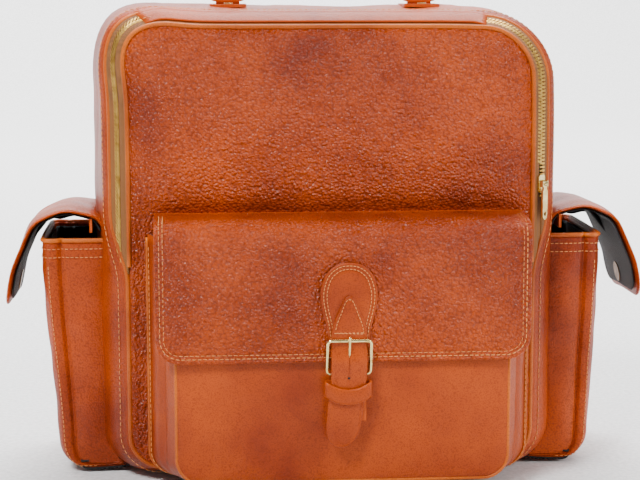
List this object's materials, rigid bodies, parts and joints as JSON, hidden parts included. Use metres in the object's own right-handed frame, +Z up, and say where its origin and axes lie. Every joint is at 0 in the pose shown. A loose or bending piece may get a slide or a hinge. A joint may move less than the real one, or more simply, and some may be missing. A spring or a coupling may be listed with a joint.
{
  "type": "leather backpack",
  "caption": "Tan leather backpack with zipped front, buckled front pocket, two flapped side pockets, top handle and shoulder straps.",
  "frame": {"origin": "centre of the base, where the bag stands on the floor", "axes": "+X to the right for someone who faces the front, +Y from the front to the back, +Z up"},
  "size_m": [0.4882, 0.2581, 0.42],
  "materials": {
    "pebbled_leather": "pebbled, semi-matte tan",
    "smooth_leather": "smooth, satin tan",
    "lining_cloth": "matte dark cloth",
    "brass": "polished pale brass",
    "zip_tape": "woven khaki tape",
    "board": "matte",
    "foam": "matte"
  },
  "bodies": {
    "bag": {"back_binding": "smooth_leather", "back_panel": "pebbled_leather", "back_pad": "foam", "base_board": "board", "bottom_panel": "pebbled_leather", "top_panel": "pebbled_leather", "side_gusset_left": "pebbled_leather", "side_gusset_right": "pebbled_leather", "front_welt": "smooth_leather", "front_panel_lower": "pebbled_leather", "main_lining": "lining_cloth", "zip_tape_body": "zip_tape", "zip_teeth_body": "brass", "zip_stops": "brass", "front_pocket_panel": "pebbled_leather", "front_pocket_gusset": "pebbled_leather", "pocket_linings": "lining_cloth", "snap_bases": "brass", "flap_anchors": "smooth_leather", "side_pocket_face_left": "pebbled_leather", "side_pocket_face_right": "pebbled_leather", "side_pocket_gusset_left": "pebbled_leather", "side_pocket_gusset_right": "pebbled_leather", "handle_tabs": "smooth_leather", "rivets": "brass", "shoulder_tabs": "smooth_leather"},
    "front_door": {"front_panel_upper": "pebbled_leather", "front_piping": "smooth_leather", "front_lining_upper": "lining_cloth", "zip_tape_front": "zip_tape", "zip_teeth_front": "brass"},
    "zip_slider": {"zip_slider": "brass"},
    "zip_pull": {"zip_pull": "brass"},
    "front_flap": {"flap_leather": "pebbled_leather", "flap_lining": "lining_cloth", "closure_patch": "smooth_leather", "closure_strap": "smooth_leather", "closure_chape": "smooth_leather", "strap_keeper": "smooth_leather", "front_snap_cap": "brass"},
    "closure_buckle": {"buckle_frame": "brass"},
    "closure_prong": {"buckle_prong": "brass"},
    "handle_rings": {"handle_rings": "brass"},
    "handle_grip": {"handle_grip": "smooth_leather"},
    "side_flap_left": {"side_flap_left": "pebbled_leather", "side_flap_lining_left": "lining_cloth", "side_snap_cap_left": "brass"},
    "shoulder_strap_left": {"shoulder_pad_left": "smooth_leather", "shoulder_lower_strap_left": "smooth_leather", "shoulder_rings_left": "brass"},
    "shoulder_buckle_left": {"shoulder_buckle_left": "brass"},
    "shoulder_prong_left": {"shoulder_prong_left": "brass"},
    "side_flap_right": {"side_flap_right": "pebbled_leather", "side_flap_lining_right": "lining_cloth", "side_snap_cap_right": "brass"},
    "shoulder_strap_right": {"shoulder_pad_right": "smooth_leather", "shoulder_lower_strap_right": "smooth_leather", "shoulder_rings_right": "brass"},
    "shoulder_buckle_right": {"shoulder_buckle_right": "brass"},
    "shoulder_prong_right": {"shoulder_prong_right": "brass"}
  },
  "joints": [
    {"name": "front_door_hinge", "type": "hinge", "parent": "bag", "child": "front_door", "pos_m": [0, -0.079, 0.206], "axis": [1, 0, 0], "range_deg": [0, 90]},
    {"name": "front_flap_hinge", "type": "hinge", "parent": "bag", "child": "front_flap", "pos_m": [0.005, -0.0828, 0.2015], "axis": [1, 0, 0], "range_deg": [-85, 0]},
    {"name": "zip_slide", "type": "slide", "parent": "bag", "child": "zip_slider", "axis": [0, 0, 1], "range_m": [0, 0.072]},
    {"name": "zip_pull_hinge", "type": "hinge", "parent": "zip_slider", "child": "zip_pull", "pos_m": [0.15958, -0.07255, 0.222], "axis": [-0.6347, -0.7727, 0], "range_deg": [0, 150]},
    {"name": "closure_buckle_hinge", "type": "hinge", "parent": "front_flap", "child": "closure_buckle", "pos_m": [0.008, -0.1247, 0.0915], "axis": [1, 0, 0], "range_deg": [0, 6]},
    {"name": "closure_prong_hinge", "type": "hinge", "parent": "closure_buckle", "child": "closure_prong", "pos_m": [0.008, -0.1247, 0.0915], "axis": [1, 0, 0], "range_deg": [0, 8]},
    {"name": "side_flap_right_hinge", "type": "hinge", "parent": "bag", "child": "side_flap_right", "pos_m": [0.1825, 0.0075, 0.197], "axis": [0, 1, 0], "range_deg": [-80, 15]},
    {"name": "side_flap_left_hinge", "type": "hinge", "parent": "bag", "child": "side_flap_left", "pos_m": [-0.1825, 0.0075, 0.197], "axis": [0, -1, 0], "range_deg": [-80, 15]},
    {"name": "handle_rings_hinge", "type": "hinge", "parent": "bag", "child": "handle_rings", "pos_m": [0, 0.004, 0.3578], "axis": [1, 0, 0], "range_deg": [-60, 60]},
    {"name": "handle_grip_hinge", "type": "hinge", "parent": "handle_rings", "child": "handle_grip", "pos_m": [0, 0.004, 0.3726], "axis": [1, 0, 0], "range_deg": [-20, 20]},
    {"name": "shoulder_strap_right_swing", "type": "hinge", "parent": "bag", "child": "shoulder_strap_right", "pos_m": [0.045, 0.0845, 0.3], "axis": [0.2979, 0, -0.9546], "range_deg": [-12, 12]},
    {"name": "shoulder_buckle_right_hinge", "type": "hinge", "parent": "shoulder_strap_right", "child": "shoulder_buckle_right", "pos_m": [0.10671, 0.09794, 0.10224], "axis": [0.9546, 0, 0.2979], "range_deg": [0, 6]},
    {"name": "shoulder_prong_right_hinge", "type": "hinge", "parent": "shoulder_buckle_right", "child": "shoulder_prong_right", "pos_m": [0.10671, 0.09794, 0.10224], "axis": [0.9546, 0, 0.2979], "range_deg": [0, 8]},
    {"name": "shoulder_strap_left_swing", "type": "hinge", "parent": "bag", "child": "shoulder_strap_left", "pos_m": [-0.045, 0.0845, 0.3], "axis": [0.2979, 0, 0.9546], "range_deg": [-12, 12]},
    {"name": "shoulder_buckle_left_hinge", "type": "hinge", "parent": "shoulder_strap_left", "child": "shoulder_buckle_left", "pos_m": [-0.10671, 0.09794, 0.10224], "axis": [0.9546, 0, -0.2979], "range_deg": [0, 6]},
    {"name": "shoulder_prong_left_hinge", "type": "hinge", "parent": "shoulder_buckle_left", "child": "shoulder_prong_left", "pos_m": [-0.10671, 0.09794, 0.10224], "axis": [0.9546, 0, -0.2979], "range_deg": [0, 8]}
  ]
}
